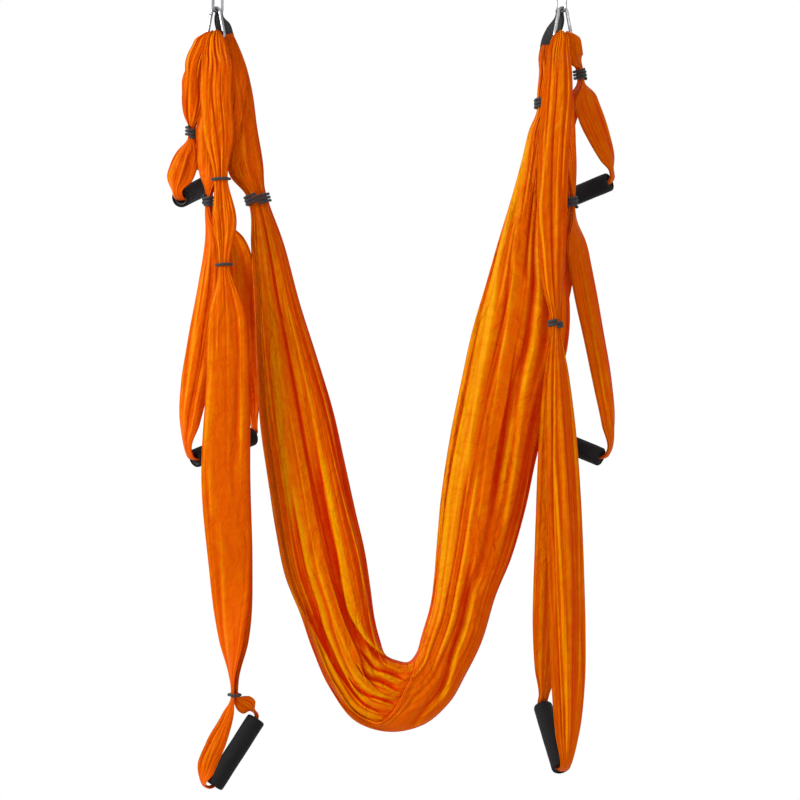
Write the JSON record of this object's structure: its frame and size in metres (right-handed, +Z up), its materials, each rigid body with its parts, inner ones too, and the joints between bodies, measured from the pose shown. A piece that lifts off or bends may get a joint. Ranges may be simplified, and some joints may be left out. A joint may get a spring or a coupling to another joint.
{
  "type": "aerial hammock",
  "caption": "Gathered cloth sling hung from steel links and sprung hooks, with cloth handle straps tied by elastic bands and ending in padded foam grips.",
  "frame": {"origin": "the seat inside the top bend of the left hang link, where the ceiling chain pulls", "axes": "+X from the left hang link to the right one, +Y from the viewer's side to the back, +Z up"},
  "size_m": [0.8018, 0.2516, 1.4266],
  "materials": {
    "cloth": "satin woven nylon",
    "webbing": "ribbed black webbing",
    "elastic": "covered elastic cord",
    "grip_foam": "fine closed-cell foam",
    "grip_core": "moulded tube",
    "hardware_steel": "bright plated steel"
  },
  "bodies": {
    "sling": {"sling_cloth": "cloth", "left_hang_link": "hardware_steel", "right_hang_link": "hardware_steel", "left_webbing_loop": "webbing", "right_webbing_loop": "webbing", "left_neck_band": "elastic", "right_neck_band": "elastic"},
    "left_hook": {"left_hook_body": "hardware_steel", "left_gate_rivet": "hardware_steel"},
    "left_gate": {"left_hook_gate": "hardware_steel", "left_gate_spring": "hardware_steel", "left_gate_plunger": "hardware_steel"},
    "right_hook": {"right_hook_body": "hardware_steel", "right_gate_rivet": "hardware_steel"},
    "right_gate": {"right_hook_gate": "hardware_steel", "right_gate_spring": "hardware_steel", "right_gate_plunger": "hardware_steel"},
    "left_long_handle": {"left_long_strap": "cloth", "left_long_upper_band": "elastic", "left_long_middle_band": "elastic", "left_long_lower_band": "elastic"},
    "left_long_grip": {"left_long_foam_grip": "grip_foam", "left_long_grip_core": "grip_core"},
    "left_medium_handle": {"left_medium_strap": "cloth", "left_medium_band": "elastic"},
    "left_medium_grip": {"left_medium_foam_grip": "grip_foam", "left_medium_grip_core": "grip_core"},
    "left_short_handle": {"left_short_strap": "cloth", "left_short_band": "elastic"},
    "left_short_grip": {"left_short_foam_grip": "grip_foam", "left_short_grip_core": "grip_core"},
    "right_long_handle": {"right_long_strap": "cloth", "right_long_band": "elastic"},
    "right_long_grip": {"right_long_foam_grip": "grip_foam", "right_long_grip_core": "grip_core"},
    "right_medium_handle": {"right_medium_strap": "cloth", "right_medium_band": "elastic"},
    "right_medium_grip": {"right_medium_foam_grip": "grip_foam", "right_medium_grip_core": "grip_core"},
    "right_short_handle": {"right_short_strap": "cloth", "right_short_band": "elastic"},
    "right_short_grip": {"right_short_foam_grip": "grip_foam", "right_short_grip_core": "grip_core"}
  },
  "joints": [
    {"name": "left_hook_swing", "type": "hinge", "parent": "sling", "child": "left_hook", "pos_m": [-0.00295, -0.00579, -0.03875], "axis": [0.454, 0.891, 0], "range_deg": [0, 12]},
    {"name": "left_gate_hinge", "type": "hinge", "parent": "left_hook", "child": "left_gate", "pos_m": [-0.01153, -0.00349, -0.04462], "axis": [-0.2588, -0.9659, 0], "range_deg": [0, 24], "stiffness_Nm_per_rad": 0.02, "springref_deg": -20.05},
    {"name": "left_long_swing", "type": "hinge", "parent": "left_hook", "child": "left_long_handle", "pos_m": [-0.00295, -0.00579, -0.0867], "axis": [0.9659, -0.2588, 0], "range_deg": [-35, 0]},
    {"name": "left_medium_swing", "type": "hinge", "parent": "left_hook", "child": "left_medium_handle", "pos_m": [-0.00295, -0.00579, -0.0867], "axis": [0.9659, -0.2588, 0], "range_deg": [0, 25]},
    {"name": "left_short_swing", "type": "hinge", "parent": "left_medium_handle", "child": "left_short_handle", "pos_m": [-0.00295, -0.00579, -0.0867], "axis": [0.9659, -0.2588, 0], "range_deg": [0, 35]},
    {"name": "left_long_grip_spin", "type": "hinge", "parent": "left_long_handle", "child": "left_long_grip", "pos_m": [0.03384, -0.04512, -1.3553], "axis": [-0.5312, -0.2007, -0.8231], "continuous": true},
    {"name": "left_medium_grip_spin", "type": "hinge", "parent": "left_medium_handle", "child": "left_medium_grip", "pos_m": [0.00728, 0.05488, -0.8177], "axis": [-0.7133, -0.6422, -0.2807], "continuous": true},
    {"name": "left_short_grip_spin", "type": "hinge", "parent": "left_short_handle", "child": "left_short_grip", "pos_m": [-0.04235, 0.047, -0.3547], "axis": [-0.3373, -0.9022, -0.2689], "continuous": true},
    {"name": "right_hook_swing", "type": "hinge", "parent": "sling", "child": "right_hook", "pos_m": [0.61595, -0.00579, -0.03875], "axis": [0.454, -0.891, 0], "range_deg": [0, 12]},
    {"name": "right_gate_hinge", "type": "hinge", "parent": "right_hook", "child": "right_gate", "pos_m": [0.62453, -0.00349, -0.04462], "axis": [-0.2588, 0.9659, 0], "range_deg": [0, 24], "stiffness_Nm_per_rad": 0.02, "springref_deg": -20.05},
    {"name": "right_long_swing", "type": "hinge", "parent": "right_hook", "child": "right_long_handle", "pos_m": [0.61595, -0.00579, -0.0867], "axis": [0.9659, 0.2588, 0], "range_deg": [-35, 0]},
    {"name": "right_medium_swing", "type": "hinge", "parent": "right_hook", "child": "right_medium_handle", "pos_m": [0.61595, -0.00579, -0.0867], "axis": [0.9659, 0.2588, 0], "range_deg": [0, 25]},
    {"name": "right_short_swing", "type": "hinge", "parent": "right_medium_handle", "child": "right_short_handle", "pos_m": [0.61595, -0.00579, -0.0867], "axis": [0.9659, 0.2588, 0], "range_deg": [0, 35]},
    {"name": "right_long_grip_spin", "type": "hinge", "parent": "right_long_handle", "child": "right_long_grip", "pos_m": [0.59471, -0.04479, -1.3287], "axis": [0.2034, -0.6694, -0.7145], "continuous": true},
    {"name": "right_medium_grip_spin", "type": "hinge", "parent": "right_medium_handle", "child": "right_medium_grip", "pos_m": [0.62942, 0.06226, -0.8107], "axis": [0.8411, -0.4066, -0.3567], "continuous": true},
    {"name": "right_short_grip_spin", "type": "hinge", "parent": "right_short_handle", "child": "right_short_grip", "pos_m": [0.64554, 0.0797, -0.3607], "axis": [0.8402, -0.4337, 0.3256], "continuous": true}
  ]
}
